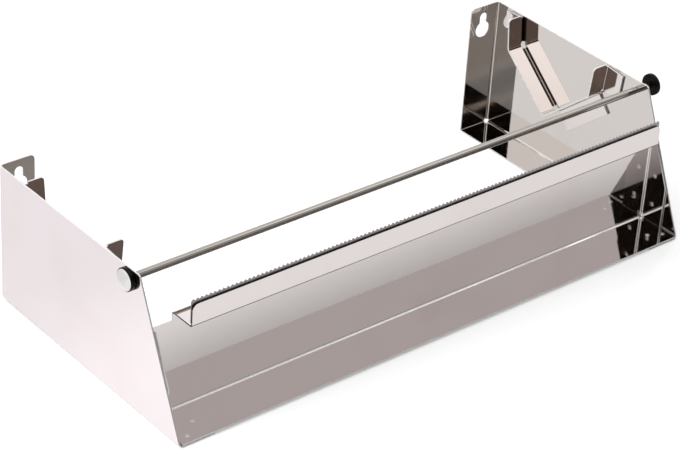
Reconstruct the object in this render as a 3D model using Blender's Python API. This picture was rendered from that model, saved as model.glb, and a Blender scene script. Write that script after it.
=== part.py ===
# A wall-hung cling film dispenser, folded and welded from stainless sheet.
# Metres. x runs along the film, y points at the wall, z is up.
# Shapes are drawn with x zero in the middle of the frame and y zero on the wall face,
# and one empty then carries them all, so that the origin lies under the middle of the whole.

import math

import bmesh
import bpy
from mathutils import Vector

# Frame
frame_width = 0.480
frame_depth = 0.224
frame_height = 0.113
front_lean = 0.050
sheet = 0.0012
fold_radius = 0.002
seat_gap = 0.0003
cut_overrun = 0.004
weld_distance = 0.000001

# Sides
flange_width = 0.030
side_corner_radius = 0.003
flange_corner_radius = 0.004
seam_relief = 0.0008
keyhole_inset = 0.0165
keyhole_head_diameter = 0.014
keyhole_slot_width = 0.007
keyhole_head_drop = 0.021
keyhole_slot_rise = 0.0113

# Front panel
floor_strip_depth = 0.038
ledge_height = 0.0837
shoulder_drop = 0.0063
ledge_depth = 0.022
ledge_end_gap = 0.0195
ledge_fold_radius = 0.0012
lip_height = 0.017
lip_corner_radius = 0.005
flap_depth = 0.021
flap_edge_inset = 0.0002
fold_relief = 0.001

# Serrated blade
blade_thickness = 0.0008
blade_rise = 0.0035
tooth_pitch = 0.0036
tooth_depth = 0.0017

# Roll cradles
cradle_width = 0.016
cradle_sheet = 0.0015
cradle_setback = 0.0810
cradle_foot_span = 0.0920
cradle_tab_splay = 0.0026
cradle_vee_depth = 0.0391
cradle_tab_height = 0.0258
cradle_tab_rise = 0.0008
cradle_fold_radius = 0.004
cradle_corner_radius = 0.003

# Guide rod and its knobs
rod_diameter = 0.0056
rod_behind_corner = 0.0123
rod_below_top = 0.0086
rod_hole_clearance = 0.0004
rod_end_play = 0.014
spigot_diameter = 0.004
spigot_length = 0.004
spigot_clearance = 0.0003
knob_diameter = 0.0175
knob_rim_thickness = 0.003
knob_dome_height = 0.0026
knob_edge_radius = 0.0008

# Finishes: base colour, roughness and metallic
side_finish = ((0.80, 0.79, 0.78), 0.12, 1)
panel_finish = ((0.72, 0.72, 0.70), 0.10, 1)
blade_finish = ((0.30, 0.29, 0.28), 0.35, 1)
cradle_finish = ((0.62, 0.60, 0.57), 0.16, 1)
rod_finish = ((0.70, 0.68, 0.64), 0.15, 1)
knob_finish = ((0.75, 0.74, 0.73), 0.08, 1)

# Steps of the round stretches, and the angle from which an edge of a turned piece stays sharp
fold_steps = 6
corner_steps = 6
hole_steps = 32
rod_steps = 32
knob_steps = 48
dome_steps = 6
sharp_angle = math.radians(30)

# Places worked out from the sizes above
half_width = frame_width / 2
side_top_depth = frame_depth - front_lean
outer_fold_radius = fold_radius + sheet
corner_relief = outer_fold_radius + seam_relief
keyhole_head_z = frame_height - keyhole_head_drop
rod_y = rod_behind_corner - side_top_depth
rod_z = frame_height - rod_below_top
floor_top = sheet + seat_gap + sheet
upright_y = floor_strip_depth - frame_depth
lip_y = upright_y - ledge_depth
floor_half_width = half_width - outer_fold_radius
panel_half_width = half_width - sheet - seat_gap
ledge_half_width = half_width - ledge_end_gap
lip_top = ledge_height + lip_height
shoulder_height = ledge_height - sheet - shoulder_drop


def clear_scene():
    for thing in list(bpy.data.objects):
        bpy.data.objects.remove(thing, do_unlink=True)


def make_carrier():
    carrier = bpy.data.objects.new("dispenser_middle", None)
    bpy.context.scene.collection.objects.link(carrier)
    carrier.location = (-rod_end_play / 2, frame_depth / 2, 0)
    return carrier


def make_material(name, finish):
    colour, roughness, metallic = finish
    material = bpy.data.materials.new(name)
    material.use_nodes = True
    shader = material.node_tree.nodes["Principled BSDF"]
    shader.inputs["Base Color"].default_value = (*colour, 1)
    shader.inputs["Roughness"].default_value = roughness
    shader.inputs["Metallic"].default_value = metallic
    return material


def add_object(name, mesh, carrier, location=(0, 0, 0)):
    thing = bpy.data.objects.new(name, mesh)
    bpy.context.scene.collection.objects.link(thing)
    thing.parent = carrier
    thing.location = location
    return thing


def rounded_path(corners, radii, steps=fold_steps):
    # The corners joined by straight runs, with each inner corner turned on its own radius
    path = [Vector(corners[0])]
    for before, corner, after, radius in zip(corners, corners[1:], corners[2:], radii):
        middle = Vector(corner)
        back = (Vector(before) - middle).normalized()
        ahead = (Vector(after) - middle).normalized()
        half_angle = back.angle(ahead) / 2
        centre = middle + (back + ahead).normalized() * radius / math.sin(half_angle)
        start = middle + back * radius / math.tan(half_angle) - centre
        end = middle + ahead * radius / math.tan(half_angle) - centre
        sweep = math.pi - 2 * half_angle
        for step in range(steps + 1):
            turned = sweep * step / steps
            mix = start * math.sin(sweep - turned) + end * math.sin(turned)
            path.append(centre + mix / math.sin(sweep))
    path.append(Vector(corners[-1]))
    return path


def swept_faces(path, stations, place):
    # Four-sided faces between neighbouring points of a path and neighbouring stations
    faces = []
    for first, second in zip(path, path[1:]):
        for near, far in zip(stations, stations[1:]):
            faces.append([place(first, near), place(second, near), place(second, far), place(first, far)])
    return faces


def sheet_object(name, faces, facing, thickness, carrier):
    # Welds the faces into one skin that looks towards the given way, and thickens it behind that skin
    mesh = bpy.data.meshes.new(name)
    skin = bmesh.new()
    for points in faces:
        skin.faces.new([skin.verts.new(point) for point in points])
    bmesh.ops.remove_doubles(skin, verts=skin.verts[:], dist=weld_distance)
    bmesh.ops.recalc_face_normals(skin, faces=skin.faces[:])
    largest = max(skin.faces, key=lambda face: face.calc_area())
    if largest.normal.dot(Vector(facing)) < 0:
        bmesh.ops.reverse_faces(skin, faces=skin.faces[:])
    skin.to_mesh(mesh)
    skin.free()
    thing = add_object(name, mesh, carrier)
    solid = thing.modifiers.new("Sheet thickness", "SOLIDIFY")
    solid.thickness = thickness
    solid.offset = -1
    solid.use_even_offset = True
    return thing


def add_cut(thing, cutter):
    cutter.hide_render = True
    cutter.display_type = "WIRE"
    cut = thing.modifiers.new("Cut " + cutter.name, "BOOLEAN")
    cut.operation = "DIFFERENCE"
    cut.solver = "EXACT"
    cut.object = cutter


def prism_mesh(name, outline, start, end, place):
    # A closed bar with one flat outline, running from start to end
    mesh = bpy.data.meshes.new(name)
    bar = bmesh.new()
    first = [bar.verts.new(place(point, start)) for point in outline]
    last = [bar.verts.new(place(point, end)) for point in outline]
    bar.faces.new(first)
    bar.faces.new(last[::-1])
    count = len(outline)
    for index in range(count):
        following = (index + 1) % count
        bar.faces.new([first[index], last[index], last[following], first[following]])
    bmesh.ops.recalc_face_normals(bar, faces=bar.faces[:])
    bar.to_mesh(mesh)
    bar.free()
    return mesh


def turned_mesh(name, profile, steps):
    # A solid turned about x, whose profile is (along, radius) pairs from the axis back to the axis
    mesh = bpy.data.meshes.new(name)
    body = bmesh.new()
    rings = []
    for along, radius in profile:
        if radius == 0:
            rings.append([body.verts.new((along, 0, 0))])
            continue
        angles = [2 * math.pi * step / steps for step in range(steps)]
        rings.append([body.verts.new((along, radius * math.cos(a), radius * math.sin(a))) for a in angles])
    for ring, following in zip(rings, rings[1:]):
        for step in range(steps):
            onward = (step + 1) % steps
            corners = [ring[step % len(ring)], ring[onward % len(ring)]]
            corners += [following[onward % len(following)], following[step % len(following)]]
            body.faces.new(list(dict.fromkeys(corners)))
    bmesh.ops.recalc_face_normals(body, faces=body.faces[:])
    body.to_mesh(mesh)
    body.free()
    mesh.shade_smooth()
    mesh.set_sharp_from_angle(angle=sharp_angle)
    return mesh


def front_edge_y(z):
    # The sides' front edge slopes from the top's front end down to the full depth
    slope_share = (frame_height - z) / frame_height
    return -side_top_depth - front_lean * slope_share


def front_edge_z(y):
    # The height at which the same edge passes a given depth
    return frame_height * (frame_depth + y) / front_lean


def side_plate_face(x):
    # The upright plate, from the start of the wall fold round to the start of the bottom fold
    foot = front_edge_y(outer_fold_radius)
    corners = [(-outer_fold_radius, frame_height), (-side_top_depth, frame_height), (foot, outer_fold_radius)]
    outline = rounded_path(corners, [side_corner_radius], corner_steps)
    outline += [
        Vector((-corner_relief, outer_fold_radius)),
        Vector((-corner_relief, corner_relief)),
        Vector((-outer_fold_radius, corner_relief)),
    ]
    return [(x, y, z) for y, z in outline]


def wall_flange_face(hand):
    # The flange on the wall, with its free top corner rounded
    fold_x = half_width - outer_fold_radius
    free_x = half_width - flange_width
    notch_x = half_width - corner_relief
    seam_z = sheet + seat_gap
    corners = [(fold_x, frame_height), (free_x, frame_height), (free_x, seam_z)]
    outline = rounded_path(corners, [flange_corner_radius], corner_steps)
    outline += [Vector((notch_x, seam_z)), Vector((notch_x, corner_relief)), Vector((fold_x, corner_relief))]
    return [(hand * x, 0, z) for x, z in outline]


def bottom_flange_face(hand):
    fold_x = half_width - outer_fold_radius
    free_x = half_width - flange_width
    notch_x = half_width - corner_relief
    outline = [(fold_x, -frame_depth), (free_x, -frame_depth), (free_x, 0), (notch_x, 0)]
    outline += [(notch_x, -corner_relief), (fold_x, -corner_relief)]
    return [(hand * x, y, 0) for x, y in outline]


def wall_fold_faces(hand):
    corner = (half_width, 0)
    path = rounded_path([(half_width, -frame_depth), corner, (0, 0)], [outer_fold_radius])[1:-1]
    stations = [corner_relief, frame_height]
    return swept_faces(path, stations, lambda point, z: (hand * point.x, point.y, z))


def bottom_fold_faces(hand):
    path = rounded_path([(half_width, frame_height), (half_width, 0), (0, 0)], [outer_fold_radius])[1:-1]
    faces = []
    for first, second in zip(path, path[1:]):
        corners = [(first, -corner_relief), (second, -corner_relief)]
        corners += [(second, front_edge_y(second.y)), (first, front_edge_y(first.y))]
        faces.append([(hand * point.x, y, point.y) for point, y in corners])
    return faces


def keyhole_outline():
    # A round head with a slot standing on it, closed by the slot's own half circle
    head_radius = keyhole_head_diameter / 2
    slot_radius = keyhole_slot_width / 2
    slot_z = keyhole_head_z + keyhole_slot_rise
    opening = math.asin(slot_radius / head_radius)
    outline = []
    for step in range(hole_steps + 1):
        angle = math.pi / 2 + opening + (2 * math.pi - 2 * opening) * step / hole_steps
        head = Vector((math.cos(angle), math.sin(angle))) * head_radius
        outline.append(head + Vector((0, keyhole_head_z)))
    for step in range(hole_steps // 2 + 1):
        angle = 2 * math.pi * step / hole_steps
        cap = Vector((math.cos(angle), math.sin(angle))) * slot_radius
        outline.append(cap + Vector((0, slot_z)))
    return outline


def keyhole_cutter(name, hand, carrier):
    middle = hand * (half_width - keyhole_inset)
    start = -sheet - cut_overrun
    mesh = prism_mesh(name, keyhole_outline(), start, cut_overrun, lambda p, y: (middle + p.x, y, p.y))
    return add_object(name, mesh, carrier)


def rod_hole_cutter(name, hand, carrier):
    radius = rod_diameter / 2 + rod_hole_clearance
    angles = [2 * math.pi * step / hole_steps for step in range(hole_steps)]
    outline = [Vector((radius * math.cos(a), radius * math.sin(a))) for a in angles]
    start = hand * (half_width - sheet - cut_overrun)
    end = hand * (half_width + cut_overrun)
    mesh = prism_mesh(name, outline, start, end, lambda p, x: (x, p.x, p.y))
    return add_object(name, mesh, carrier, (0, rod_y, rod_z))


def make_side(name, hand, carrier):
    faces = [side_plate_face(hand * half_width), wall_flange_face(hand), bottom_flange_face(hand)]
    faces += wall_fold_faces(hand) + bottom_fold_faces(hand)
    side = sheet_object(name, faces, (hand, 0, 0), sheet, carrier)
    add_cut(side, keyhole_cutter(name + "_keyhole", hand, carrier))
    add_cut(side, rod_hole_cutter(name + "_rod_hole", hand, carrier))
    side.data.materials.append(make_material(name + "_steel", side_finish))


def panel_floor_path(relief_z):
    # The floor strip and the fold up into the upright, seen from the end
    corners = [(-frame_depth, floor_top), (upright_y, floor_top), (upright_y, relief_z)]
    return rounded_path(corners, [fold_radius])


def panel_ledge_path():
    # From the shoulders over the ledge and up the lip, seen from the end
    under = ledge_height - sheet
    bend_end = ledge_height + ledge_fold_radius
    corners = [(upright_y, shoulder_height), (upright_y, under), (lip_y, under), (lip_y, bend_end)]
    return rounded_path(corners, [ledge_fold_radius, ledge_fold_radius + sheet])[:-1]


def lip_face():
    # The lip with its two free corners rounded
    foot = ledge_height + ledge_fold_radius
    corners = [(-ledge_half_width, foot), (-ledge_half_width, lip_top), (ledge_half_width, lip_top)]
    corners.append((ledge_half_width, foot))
    outline = rounded_path(corners, [lip_corner_radius, lip_corner_radius], corner_steps)
    return [(x, lip_y, z) for x, z in outline]


def flap_faces(hand, foot):
    # The fold from the upright to the flap, and the flap, cut back along the side's sloping edge
    start_x = panel_half_width - sheet - fold_radius
    flap_x = panel_half_width - sheet
    front = upright_y - flap_depth
    corners = [(start_x - fold_radius, upright_y), (flap_x, upright_y), (flap_x, front)]
    path = rounded_path(corners, [fold_radius])[1:-1]
    faces = swept_faces(path, [foot, shoulder_height], lambda p, z: (hand * p.x, p.y, z))
    fold_end = upright_y - fold_radius
    corner_z = front_edge_z(front - flap_edge_inset)
    shoulder_y = front_edge_y(shoulder_height) + flap_edge_inset
    outline = [(fold_end, foot), (front, foot), (front, corner_z), (shoulder_y, shoulder_height)]
    outline.append((fold_end, shoulder_height))
    faces.append([(hand * flap_x, y, z) for y, z in outline])
    return faces


def make_front_panel(carrier):
    # One folded sheet: floor strip, upright with a flap at each end, ledge and lip
    fold_x = panel_half_width - sheet - fold_radius
    inner = [-fold_x, -ledge_half_width, ledge_half_width, fold_x]
    whole = [-floor_half_width] + inner + [floor_half_width]

    def place(point, x):
        return (x, point.x, point.y)

    relief_z = floor_top + fold_radius + seat_gap
    foot = relief_z + fold_relief
    faces = swept_faces(panel_floor_path(relief_z), whole, place)
    upright = [Vector((upright_y, z)) for z in (relief_z, foot, shoulder_height)]
    faces += swept_faces(upright, inner, place)
    faces += swept_faces(panel_ledge_path(), inner[1:3], place)
    faces.append(lip_face())
    for hand in (-1, 1):
        faces += flap_faces(hand, foot)
    panel = sheet_object("front_panel", faces, (0, -1, 0), sheet, carrier)
    panel.data.materials.append(make_material("front_panel_steel", panel_finish))


def make_blade(carrier):
    # A toothed strip that stands on the ledge, close behind the lip
    front = lip_y + sheet + seat_gap
    foot = ledge_height + ledge_fold_radius + seat_gap
    tip = lip_top + blade_rise
    root = tip - tooth_depth
    count = round(2 * ledge_half_width / tooth_pitch)
    pitch = 2 * ledge_half_width / count
    outline = [(-ledge_half_width, foot), (-ledge_half_width, root)]
    for tooth in range(count):
        start = -ledge_half_width + pitch * tooth
        outline += [(start + pitch / 2, tip), (start + pitch, root)]
    outline.append((ledge_half_width, foot))
    faces = [[(x, front, z) for x, z in outline]]
    blade = sheet_object("serrated_blade", faces, (0, -1, 0), blade_thickness, carrier)
    blade.data.materials.append(make_material("serrated_blade_steel", blade_finish))


def cradle_tab_face(foot, top, inner_x, outer_x):
    # One upright tab, its free top corner rounded; foot and top are (y, z) places on its face
    rise = (top - foot).length
    direction = (top - foot) / rise
    corners = [(inner_x, 0), (inner_x, rise), (outer_x, rise)]
    outline = rounded_path(corners, [cradle_corner_radius], corner_steps)
    outline.append(Vector((outer_x, 0)))
    places = [(x, foot + direction * up) for x, up in outline]
    return [(x, place.x, place.y) for x, place in places]


def make_cradle(name, hand, carrier):
    # A V strip that stands out from the side, with a tab at each end to hold the roll's core
    outer_x = hand * (half_width - sheet - seat_gap)
    inner_x = hand * (half_width - sheet - seat_gap - cradle_width)
    tab_top = frame_height + cradle_tab_rise
    tab_foot = tab_top - cradle_tab_height
    half_span = cradle_foot_span / 2
    corners = [
        (-cradle_setback + half_span + cradle_tab_splay, tab_top),
        (-cradle_setback + half_span, tab_foot),
        (-cradle_setback, tab_foot - cradle_vee_depth),
        (-cradle_setback - half_span, tab_foot),
        (-cradle_setback - half_span - cradle_tab_splay, tab_top),
    ]
    path = rounded_path(corners, [cradle_fold_radius] * 3)
    faces = swept_faces(path[1:-1], [inner_x, outer_x], lambda p, x: (x, p.x, p.y))
    faces.append(cradle_tab_face(path[1], path[0], inner_x, outer_x))
    faces.append(cradle_tab_face(path[-2], path[-1], inner_x, outer_x))
    cradle = sheet_object(name, faces, (0, 0, 1), cradle_sheet, carrier)
    cradle.data.materials.append(make_material(name + "_steel", cradle_finish))


def make_rod(carrier):
    # The shank runs from knob to knob, and a thinner spigot goes on into each knob
    shank_radius = rod_diameter / 2
    spigot_radius = spigot_diameter / 2
    start = -half_width
    end = half_width + rod_end_play
    profile = [
        (start - spigot_length, 0),
        (start - spigot_length, spigot_radius),
        (start, spigot_radius),
        (start, shank_radius),
        (end, shank_radius),
        (end, spigot_radius),
        (end + spigot_length, spigot_radius),
        (end + spigot_length, 0),
    ]
    mesh = turned_mesh("guide_rod", profile, rod_steps)
    mesh.materials.append(make_material("guide_rod_steel", rod_finish))
    add_object("guide_rod", mesh, carrier, (0, rod_y, rod_z))


def knob_profile(hand):
    # From the end of the bore out to its mouth, over the back and its round edge, the rim and the dome
    radius = knob_diameter / 2
    bore_radius = spigot_diameter / 2 + spigot_clearance
    bore_depth = spigot_length + spigot_clearance - seat_gap
    profile = [(bore_depth, 0), (bore_depth, bore_radius)]
    back = [(0, bore_radius), (0, radius), (knob_rim_thickness, radius)]
    profile += [(point.x, point.y) for point in rounded_path(back, [knob_edge_radius], corner_steps)]
    ball_radius = (radius ** 2 + knob_dome_height ** 2) / (2 * knob_dome_height)
    widest = math.asin(radius / ball_radius)
    ball_middle = knob_rim_thickness + knob_dome_height - ball_radius
    for step in range(1, dome_steps):
        angle = widest * (1 - step / dome_steps)
        profile.append((ball_middle + ball_radius * math.cos(angle), ball_radius * math.sin(angle)))
    profile.append((ball_middle + ball_radius, 0))
    return [(hand * along, across) for along, across in profile]


def make_knob(name, hand, back_x, carrier):
    mesh = turned_mesh(name, knob_profile(hand), knob_steps)
    mesh.materials.append(make_material(name + "_chrome", knob_finish))
    add_object(name, mesh, carrier, (back_x, rod_y, rod_z))


def build():
    clear_scene()
    carrier = make_carrier()
    make_side("left_side", -1, carrier)
    make_side("right_side", 1, carrier)
    make_front_panel(carrier)
    make_blade(carrier)
    make_cradle("left_roll_cradle", -1, carrier)
    make_cradle("right_roll_cradle", 1, carrier)
    make_rod(carrier)
    make_knob("left_rod_knob", -1, -half_width - seat_gap, carrier)
    make_knob("right_rod_knob", 1, half_width + seat_gap + rod_end_play, carrier)


build()
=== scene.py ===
# Cling film dispenser in folded, polished steel sheet: finished pieces, finishes, studio and camera.
# Pieces are drawn in the dispenser's own places: x from the middle of the frame, y from the wall, z up.
import math

import bmesh
import bpy
from mathutils import Matrix, Vector


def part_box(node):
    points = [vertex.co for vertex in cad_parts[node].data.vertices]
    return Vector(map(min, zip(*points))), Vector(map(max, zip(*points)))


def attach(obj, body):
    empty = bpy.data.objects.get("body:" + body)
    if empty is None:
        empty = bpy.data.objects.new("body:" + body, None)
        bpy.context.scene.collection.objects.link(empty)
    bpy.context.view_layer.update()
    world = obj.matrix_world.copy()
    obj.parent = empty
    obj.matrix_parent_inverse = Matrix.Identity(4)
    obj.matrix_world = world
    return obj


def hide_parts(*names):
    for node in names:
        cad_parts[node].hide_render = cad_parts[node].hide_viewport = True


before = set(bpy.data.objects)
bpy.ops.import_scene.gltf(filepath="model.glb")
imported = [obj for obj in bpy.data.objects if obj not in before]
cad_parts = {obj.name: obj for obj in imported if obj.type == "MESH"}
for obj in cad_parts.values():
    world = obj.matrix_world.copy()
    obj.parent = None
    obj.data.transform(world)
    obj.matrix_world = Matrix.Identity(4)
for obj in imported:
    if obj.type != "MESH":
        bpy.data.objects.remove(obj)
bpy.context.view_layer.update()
print("frame loaded:", len(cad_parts), "nodes")

leftLow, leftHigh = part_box("left_side")
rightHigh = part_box("right_side")[1]
rodLow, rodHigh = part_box("guide_rod")
rodMiddle = (rodLow + rodHigh) / 2
middle = Vector(((leftLow.x + rightHigh.x) / 2, leftHigh.y, 0))  # middle of the frame on the wall
halfWidth = (rightHigh.x - leftLow.x) / 2
frameDepth = leftHigh.y - leftLow.y
frameHeight = leftHigh.z

sheetStock = {
    "thickness": 0.0012,
    "foldRadius": 0.002,  # inside the fold
    "foldSteps": 12,
    "cornerSteps": 10,
    "edgeRound": 0.00014,  # broken edge of the cut sheet
    "edgeSteps": 3,
    "edgeAngle": 35.0,  # edges that turn more than this are broken
    "flatWeight": 100,  # how firmly the flats keep their own shading beside a broken edge
    "joinWithin": 0.000001,  # drawn points nearer than this are one
    "seatGap": 0.0003,
    "frontLean": 0.050,  # how far the sides' front edge runs forward from top to bottom
}
thickness = sheetStock["thickness"]
seatGap = sheetStock["seatGap"]
frontLean = sheetStock["frontLean"]
topDepth = frameDepth - frontLean
foldRadius = sheetStock["foldRadius"]
outerRadius = foldRadius + thickness


# Outlines and paths

def roundedPath(corners, radii, steps):
    # Straight runs between the corners, each inner corner turned on its own radius
    path = [Vector(corners[0])]
    for before, corner, after, radius in zip(corners, corners[1:], corners[2:], radii):
        point = Vector(corner)
        back = (Vector(before) - point).normalized()
        ahead = (Vector(after) - point).normalized()
        halfAngle = back.angle(ahead) / 2
        centre = point + (back + ahead).normalized() * radius / math.sin(halfAngle)
        start = point + back * radius / math.tan(halfAngle) - centre
        end = point + ahead * radius / math.tan(halfAngle) - centre
        sweep = math.pi - 2 * halfAngle
        for step in range(steps + 1):
            turned = sweep * step / steps
            mix = start * math.sin(sweep - turned) + end * math.sin(turned)
            path.append(centre + mix / math.sin(sweep))
    path.append(Vector(corners[-1]))
    return path


def sweptFaces(path, stations, place):
    faces = []
    for first, second in zip(path, path[1:]):
        for near, far in zip(stations, stations[1:]):
            faces.append([place(first, near), place(second, near), place(second, far), place(first, far)])
    return faces


def alongX(point, x):
    return (x, point.x, point.y)


def frontEdgeY(z):
    return -topDepth - frontLean * (frameHeight - z) / frameHeight


def frontEdgeZ(y):
    return frameHeight * (frameDepth + y) / frontLean


# Turning drawn faces into finished pieces

def linkObject(name, data):
    thing = bpy.data.objects.new(name, data)
    bpy.context.scene.collection.objects.link(thing)
    return thing


def settledMesh(thing, name):
    # The object as its modifiers make it, as a plain mesh with the modifiers gone
    bpy.context.view_layer.update()
    depsgraph = bpy.context.evaluated_depsgraph_get()
    mesh = bpy.data.meshes.new_from_object(thing.evaluated_get(depsgraph), depsgraph=depsgraph)
    mesh.name = name
    bpy.data.objects.remove(thing)
    return mesh


def ridePiece(piece, body, node):
    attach(piece, body)
    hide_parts(node)


skinSlot, backSlot, edgeSlot = range(3)  # material slots of every folded sheet


def sheetObject(name, faces, facing, wall):
    # One welded skin that looks towards facing, with the sheet's thickness behind it
    mesh = bpy.data.meshes.new(name)
    skin = bmesh.new()
    for points in faces:
        skin.faces.new([skin.verts.new(Vector(point) + middle) for point in points])
    bmesh.ops.remove_doubles(skin, verts=skin.verts[:], dist=sheetStock["joinWithin"])
    bmesh.ops.recalc_face_normals(skin, faces=skin.faces[:])
    largest = max(skin.faces, key=lambda face: face.calc_area())
    if largest.normal.dot(Vector(facing)) < 0:
        bmesh.ops.reverse_faces(skin, faces=skin.faces[:])
    skin.to_mesh(mesh)
    skin.free()
    for finish in (None, None, None):  # finishSheet fills the slots
        mesh.materials.append(finish)
    thing = linkObject(name + "Draft", mesh)
    wallMaker = thing.modifiers.new("Sheet", "SOLIDIFY")
    wallMaker.thickness = wall
    wallMaker.offset = -1
    wallMaker.use_even_offset = True
    wallMaker.material_offset = backSlot
    wallMaker.material_offset_rim = edgeSlot
    return thing


def breakEdges(thing, width, steps):
    # Rounds the cut edges a little and keeps the flats flat in reflection
    rounder = thing.modifiers.new("Broken edges", "BEVEL")
    rounder.width = width
    rounder.segments = steps
    rounder.limit_method = "ANGLE"
    rounder.angle_limit = math.radians(sheetStock["edgeAngle"])
    rounder.use_clamp_overlap = True
    weighted = thing.modifiers.new("Flat stays flat", "WEIGHTED_NORMAL")
    weighted.mode = "FACE_AREA"
    weighted.weight = sheetStock["flatWeight"]
    weighted.keep_sharp = False


def finishSheet(thing, name, *finishes):
    # Finishes of the drawn skin, its back and its cut edges, then any others that are painted on
    for polygon in thing.data.polygons:
        polygon.use_smooth = True
    breakEdges(thing, sheetStock["edgeRound"], sheetStock["edgeSteps"])
    mesh = settledMesh(thing, name)
    for number, finish in enumerate(finishes):
        if number < len(mesh.materials):
            mesh.materials[number] = finish
        else:
            mesh.materials.append(finish)
    return linkObject(name, mesh)


def prismObject(name, outline, start, end, place):
    mesh = bpy.data.meshes.new(name)
    bar = bmesh.new()
    first = [bar.verts.new(Vector(place(point, start)) + middle) for point in outline]
    last = [bar.verts.new(Vector(place(point, end)) + middle) for point in outline]
    bar.faces.new(first)
    bar.faces.new(last[::-1])
    for index in range(len(outline)):
        following = (index + 1) % len(outline)
        bar.faces.new([first[index], last[index], last[following], first[following]])
    bmesh.ops.recalc_face_normals(bar, faces=bar.faces[:])
    bar.to_mesh(mesh)
    bar.free()
    return linkObject(name, mesh)


def cutWith(thing, cutters):
    for cutter in cutters:
        cut = thing.modifiers.new("Cut " + cutter.name, "BOOLEAN")
        cut.operation = "DIFFERENCE"
        cut.solver = "EXACT"
        cut.object = cutter


# Node trees

def feedNode(tree, node, values):
    # Each value is a constant for its input, or the output that feeds it
    for key, value in values.items():
        if isinstance(value, bpy.types.NodeSocket):
            tree.links.new(value, node.inputs[key])
        else:
            node.inputs[key].default_value = value


def addNode(tree, kind, values=None, **settings):
    node = tree.nodes.new(kind)
    for key, value in settings.items():
        setattr(node, key, value)
    feedNode(tree, node, values or {})
    return node


def mathNode(tree, operation, *values, clamp=False):
    settings = {"operation": operation, "use_clamp": clamp}
    return addNode(tree, "ShaderNodeMath", dict(enumerate(values)), **settings).outputs[0]


def noiseNode(tree, place, scale, values):
    return addNode(tree, "ShaderNodeTexNoise", dict(values, Vector=place, Scale=scale)).outputs["Fac"]


def stretchNode(tree, place, scale):
    return addNode(tree, "ShaderNodeMapping", {"Vector": place, "Scale": scale}).outputs["Vector"]


def bumpNode(tree, height, distance, strength):
    values = {"Height": height, "Distance": distance, "Strength": strength}
    return addNode(tree, "ShaderNodeBump", values).outputs["Normal"]


def rampNode(tree, value, start, end, top=1.0):
    # Nothing at start, rising softly to top at end
    values = {"Value": value, "From Min": start, "From Max": end, "To Max": top}
    return addNode(tree, "ShaderNodeMapRange", values, interpolation_type="SMOOTHSTEP").outputs["Result"]


def blendColours(tree, factor, first, second):
    values = {"Factor": factor, 6: (*first, 1), 7: (*second, 1)}  # the Mix node's two colour inputs
    return addNode(tree, "ShaderNodeMix", values, data_type="RGBA").outputs[2]


def objectPlace(tree):
    return addNode(tree, "ShaderNodeTexCoord").outputs["Object"]


def newTree(kind, name, inputs, outputs):
    # Inputs and outputs are given as names with their kinds of socket
    tree = bpy.data.node_groups.new(name, kind)
    for way, sockets in (("INPUT", inputs), ("OUTPUT", outputs)):
        for label, socketKind in sockets.items():
            tree.interface.new_socket(label, in_out=way, socket_type="NodeSocket" + socketKind)
    return tree, tree.nodes.new("NodeGroupInput").outputs, tree.nodes.new("NodeGroupOutput").inputs


# Shader groups that several finishes share

handledLook = {
    "cloud": {"Detail": 3.0, "Roughness": 0.55, "Distortion": 0.6},
    "streak": {"Detail": 4.0, "Roughness": 0.6, "Distortion": 1.5},
    "patchEdge": 0.8,  # the cloud's height, less the coverage, at which a smear begins
    "patchContrast": 3.5,
    "speckScale": 95.0,
    "speckSize": 0.035,
    "speckStreak": 0.62,  # specks show only where the streak is stronger than this
}


def makeHandledGroup():
    # Finger smears and wiped patches: soft clouds, broken up by a finer streak, and a few specks
    inputs = {"cloudScale": "Float", "streakScale": "Float", "coverage": "Float"}
    outputs = {"Smear": "Float", "Speck": "Float"}
    group, given, out = newTree("ShaderNodeTree", "handled sheet", inputs, outputs)
    place = objectPlace(group)
    cloud = noiseNode(group, place, given["cloudScale"], handledLook["cloud"])
    streak = noiseNode(group, place, given["streakScale"], handledLook["streak"])
    cells = {"Vector": place, "Scale": handledLook["speckScale"]}
    speck = addNode(group, "ShaderNodeTexVoronoi", cells, feature="F1").outputs["Distance"]
    edge = mathNode(group, "SUBTRACT", handledLook["patchEdge"], given["coverage"])
    patch = mathNode(group, "SUBTRACT", cloud, edge)
    patch = mathNode(group, "MULTIPLY", patch, handledLook["patchContrast"], clamp=True)
    group.links.new(mathNode(group, "MULTIPLY", patch, streak, clamp=True), out["Smear"])
    near = mathNode(group, "LESS_THAN", speck, handledLook["speckSize"])
    sparse = mathNode(group, "GREATER_THAN", streak, handledLook["speckStreak"])
    group.links.new(mathNode(group, "MULTIPLY", near, sparse), out["Speck"])
    return group


waveLook = {
    "wave": {"Detail": 1.0, "Roughness": 0.35},
    "scratch": {"Detail": 2.0, "Roughness": 0.7},
    "scratchStretch": (0.03, 1.0, 1.0),  # long along the sheet
    "scratchEdge": 0.55,
    "scratchContrast": 5.0,
}


def makeWaveGroup():
    # The slow unevenness of rolled sheet, as a height, with the fine scratches of polishing
    inputs = {"waveScale": "Float", "scratchScale": "Float", "scratchShare": "Float"}
    outputs = {"Height": "Float", "Scratch": "Float"}
    group, given, out = newTree("ShaderNodeTree", "sheet wave", inputs, outputs)
    place = objectPlace(group)
    wave = noiseNode(group, place, given["waveScale"], waveLook["wave"])
    lengthwise = stretchNode(group, place, waveLook["scratchStretch"])
    scratch = noiseNode(group, lengthwise, given["scratchScale"], waveLook["scratch"])
    fine = mathNode(group, "MULTIPLY", scratch, given["scratchShare"])
    group.links.new(mathNode(group, "ADD", wave, fine), out["Height"])
    line = mathNode(group, "SUBTRACT", scratch, waveLook["scratchEdge"])
    line = mathNode(group, "MULTIPLY", line, waveLook["scratchContrast"], clamp=True)
    group.links.new(line, out["Scratch"])
    return group


handledGroup = makeHandledGroup()
waveGroup = makeWaveGroup()


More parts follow.
